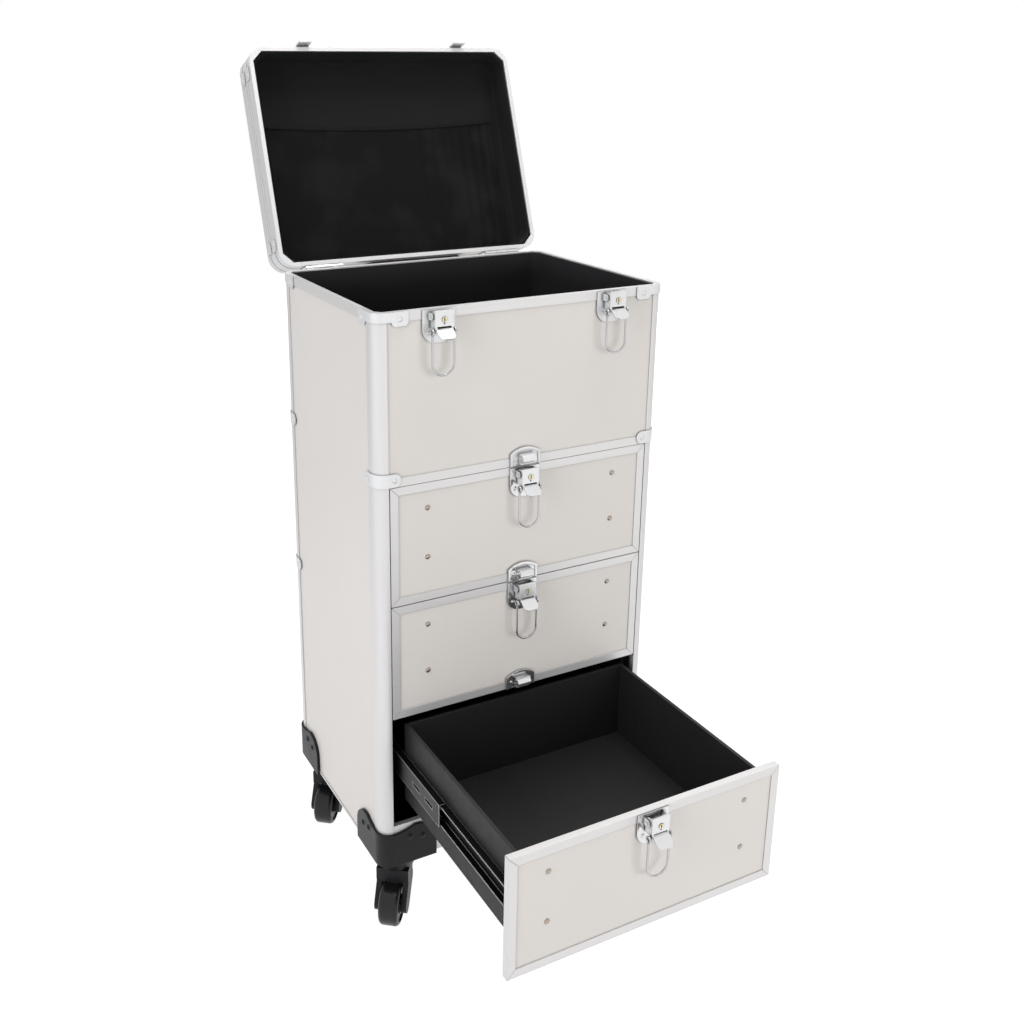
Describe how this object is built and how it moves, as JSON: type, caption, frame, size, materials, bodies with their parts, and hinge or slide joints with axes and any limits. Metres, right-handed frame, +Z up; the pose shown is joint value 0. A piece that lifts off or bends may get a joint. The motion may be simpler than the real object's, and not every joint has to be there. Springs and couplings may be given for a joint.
{
  "type": "rolling makeup case",
  "caption": "Tall hard case on swivel casters with a hinged lid over a lined tray, latched drawers on telescopic slides and a pull handle behind.",
  "frame": {"origin": "on the floor under the middle of the case", "axes": "+Z up, front towards -Y, +X to the right seen from the front"},
  "size_m": [0.3685, 0.6901, 1.0057],
  "materials": {
    "aluminium": "satin anodised",
    "black_board": "black covered board",
    "black_plastic": "moulded, glossy",
    "black_steel": "black zinc",
    "brass": "turned",
    "cream_board": "cream laminated sheet, satin",
    "lining": "black cloth",
    "steel": "bright plated pressings",
    "tread": "hard black rubber"
  },
  "bodies": {
    "case": {"side_panels": "cream_board", "back_panel": "cream_board", "upper_front_panel": "cream_board", "inner_boards": "black_board", "corner_posts": "aluminium", "body_rails": "aluminium", "body_fittings": "steel", "slide_channels": "black_steel", "caster_shoes": "black_plastic", "body_hinge_leaves": "steel", "compartment_lining": "lining", "handle_tubes": "aluminium", "handle_grip": "black_plastic"},
    "lid": {"lid_panel": "cream_board", "lid_frame": "aluminium", "lid_fittings": "steel", "lid_lining": "lining", "lid_pocket": "lining", "lid_hinge_leaves": "steel"},
    "drawer_1": {"drawer_1_front": "cream_board", "drawer_1_frame": "aluminium", "drawer_1_box": "black_board", "drawer_1_runners": "black_steel", "drawer_1_fittings": "steel"},
    "slide_mid_1": {"slide_mid_1": "black_steel"},
    "drawer_2": {"drawer_2_front": "cream_board", "drawer_2_frame": "aluminium", "drawer_2_box": "black_board", "drawer_2_runners": "black_steel", "drawer_2_fittings": "steel"},
    "slide_mid_2": {"slide_mid_2": "black_steel"},
    "drawer_3": {"drawer_3_front": "cream_board", "drawer_3_frame": "aluminium", "drawer_3_box": "black_board", "drawer_3_runners": "black_steel", "drawer_3_fittings": "steel"},
    "slide_mid_3": {"slide_mid_3": "black_steel"},
    "lever_lid_left": {"lever_lid_left": "steel"},
    "lock_lid_left": {"lock_lid_left": "brass"},
    "ring_lid_left": {"ring_lid_left": "steel"},
    "lever_lid_right": {"lever_lid_right": "steel"},
    "lock_lid_right": {"lock_lid_right": "brass"},
    "ring_lid_right": {"ring_lid_right": "steel"},
    "lever_drawer_1": {"lever_drawer_1": "steel"},
    "lock_drawer_1": {"lock_drawer_1": "brass"},
    "ring_drawer_1": {"ring_drawer_1": "steel"},
    "lever_drawer_2": {"lever_drawer_2": "steel"},
    "lock_drawer_2": {"lock_drawer_2": "brass"},
    "ring_drawer_2": {"ring_drawer_2": "steel"},
    "lever_drawer_3": {"lever_drawer_3": "steel"},
    "lock_drawer_3": {"lock_drawer_3": "brass"},
    "ring_drawer_3": {"ring_drawer_3": "steel"},
    "fork_front_left": {"fork_front_left": "black_plastic"},
    "wheel_front_left": {"wheel_front_left": "tread"},
    "fork_front_right": {"fork_front_right": "black_plastic"},
    "wheel_front_right": {"wheel_front_right": "tread"},
    "fork_rear_left": {"fork_rear_left": "black_plastic"},
    "wheel_rear_left": {"wheel_rear_left": "tread"},
    "fork_rear_right": {"fork_rear_right": "black_plastic"},
    "wheel_rear_right": {"wheel_rear_right": "tread"}
  },
  "joints": [
    {"name": "lid_hinge", "type": "hinge", "parent": "case", "child": "lid", "pos_m": [0, 0.1383, 0.7419], "axis": [-1, 0, 0], "range_deg": [-110, 0]},
    {"name": "drawer_1_slide", "type": "slide", "parent": "case", "child": "drawer_1", "axis": [0, -1, 0], "range_m": [0, 0.256]},
    {"name": "slide_mid_1_slide", "type": "slide", "parent": "case", "child": "slide_mid_1", "axis": [0, -1, 0], "range_m": [0, 0.128]},
    {"name": "drawer_2_slide", "type": "slide", "parent": "case", "child": "drawer_2", "axis": [0, -1, 0], "range_m": [0, 0.256]},
    {"name": "slide_mid_2_slide", "type": "slide", "parent": "case", "child": "slide_mid_2", "axis": [0, -1, 0], "range_m": [0, 0.128]},
    {"name": "drawer_3_slide", "type": "slide", "parent": "case", "child": "drawer_3", "axis": [0, -1, 0], "range_m": [-0.256, 0]},
    {"name": "slide_mid_3_slide", "type": "slide", "parent": "case", "child": "slide_mid_3", "axis": [0, -1, 0], "range_m": [-0.128, 0]},
    {"name": "lever_lid_left_hinge", "type": "hinge", "parent": "case", "child": "lever_lid_left", "pos_m": [-0.1065, -0.1425, 0.7345], "axis": [-1, 0, 0], "range_deg": [0, 40]},
    {"name": "lock_lid_left_turn", "type": "hinge", "parent": "lever_lid_left", "child": "lock_lid_left", "pos_m": [-0.1065, -0.149, 0.7321], "axis": [0, 1, 0], "range_deg": [0, 90]},
    {"name": "ring_lid_left_swing", "type": "hinge", "parent": "lever_lid_left", "child": "ring_lid_left", "pos_m": [-0.1065, -0.147, 0.719], "axis": [-1, 0, 0], "range_deg": [-6, 100]},
    {"name": "lever_lid_right_hinge", "type": "hinge", "parent": "case", "child": "lever_lid_right", "pos_m": [0.1065, -0.1425, 0.7345], "axis": [-1, 0, 0], "range_deg": [0, 40]},
    {"name": "lock_lid_right_turn", "type": "hinge", "parent": "lever_lid_right", "child": "lock_lid_right", "pos_m": [0.1065, -0.149, 0.7321], "axis": [0, 1, 0], "range_deg": [0, 90]},
    {"name": "ring_lid_right_swing", "type": "hinge", "parent": "lever_lid_right", "child": "ring_lid_right", "pos_m": [0.1065, -0.147, 0.719], "axis": [-1, 0, 0], "range_deg": [-6, 100]},
    {"name": "lever_drawer_1_hinge", "type": "hinge", "parent": "drawer_1", "child": "lever_drawer_1", "pos_m": [0, -0.1425, 0.547], "axis": [-1, 0, 0], "range_deg": [0, 40]},
    {"name": "lock_drawer_1_turn", "type": "hinge", "parent": "lever_drawer_1", "child": "lock_drawer_1", "pos_m": [0, -0.149, 0.5446], "axis": [0, 1, 0], "range_deg": [0, 90]},
    {"name": "ring_drawer_1_swing", "type": "hinge", "parent": "lever_drawer_1", "child": "ring_drawer_1", "pos_m": [0, -0.147, 0.5315], "axis": [-1, 0, 0], "range_deg": [-6, 100]},
    {"name": "lever_drawer_2_hinge", "type": "hinge", "parent": "drawer_2", "child": "lever_drawer_2", "pos_m": [0, -0.1425, 0.409], "axis": [-1, 0, 0], "range_deg": [0, 40]},
    {"name": "lock_drawer_2_turn", "type": "hinge", "parent": "lever_drawer_2", "child": "lock_drawer_2", "pos_m": [0, -0.149, 0.4066], "axis": [0, 1, 0], "range_deg": [0, 90]},
    {"name": "ring_drawer_2_swing", "type": "hinge", "parent": "lever_drawer_2", "child": "ring_drawer_2", "pos_m": [0, -0.147, 0.3935], "axis": [-1, 0, 0], "range_deg": [-6, 100]},
    {"name": "lever_drawer_3_hinge", "type": "hinge", "parent": "drawer_3", "child": "lever_drawer_3", "pos_m": [0, -0.3985, 0.271], "axis": [-1, 0, 0], "range_deg": [0, 40]},
    {"name": "lock_drawer_3_turn", "type": "hinge", "parent": "lever_drawer_3", "child": "lock_drawer_3", "pos_m": [0, -0.405, 0.2686], "axis": [0, 1, 0], "range_deg": [0, 90]},
    {"name": "ring_drawer_3_swing", "type": "hinge", "parent": "lever_drawer_3", "child": "ring_drawer_3", "pos_m": [0, -0.403, 0.2555], "axis": [-1, 0, 0], "range_deg": [-6, 100]},
    {"name": "fork_front_left_swivel", "type": "hinge", "parent": "case", "child": "fork_front_left", "pos_m": [-0.1485, -0.105, 0.0695], "axis": [0, 0, 1], "continuous": true},
    {"name": "wheel_front_left_spin", "type": "hinge", "parent": "fork_front_left", "child": "wheel_front_left", "pos_m": [-0.16204, -0.12234, 0.0255], "axis": [0.788, -0.6157, 0], "continuous": true},
    {"name": "fork_front_right_swivel", "type": "hinge", "parent": "case", "child": "fork_front_right", "pos_m": [0.1485, -0.105, 0.0695], "axis": [0, 0, 1], "continuous": true},
    {"name": "wheel_front_right_spin", "type": "hinge", "parent": "fork_front_right", "child": "wheel_front_right", "pos_m": [0.13496, -0.12234, 0.0255], "axis": [0.788, -0.6157, 0], "continuous": true},
    {"name": "fork_rear_left_swivel", "type": "hinge", "parent": "case", "child": "fork_rear_left", "pos_m": [-0.1485, 0.105, 0.0695], "axis": [0, 0, 1], "continuous": true},
    {"name": "wheel_rear_left_spin", "type": "hinge", "parent": "fork_rear_left", "child": "wheel_rear_left", "pos_m": [-0.16204, 0.08766, 0.0255], "axis": [0.788, -0.6157, 0], "continuous": true},
    {"name": "fork_rear_right_swivel", "type": "hinge", "parent": "case", "child": "fork_rear_right", "pos_m": [0.1485, 0.105, 0.0695], "axis": [0, 0, 1], "continuous": true},
    {"name": "wheel_rear_right_spin", "type": "hinge", "parent": "fork_rear_right", "child": "wheel_rear_right", "pos_m": [0.13496, 0.08766, 0.0255], "axis": [0.788, -0.6157, 0], "continuous": true}
  ],
  "couplings": [
    {"joint": "slide_mid_1_slide", "follows": "drawer_1_slide", "ratio": 0.5},
    {"joint": "slide_mid_2_slide", "follows": "drawer_2_slide", "ratio": 0.5},
    {"joint": "slide_mid_3_slide", "follows": "drawer_3_slide", "ratio": 0.5}
  ]
}
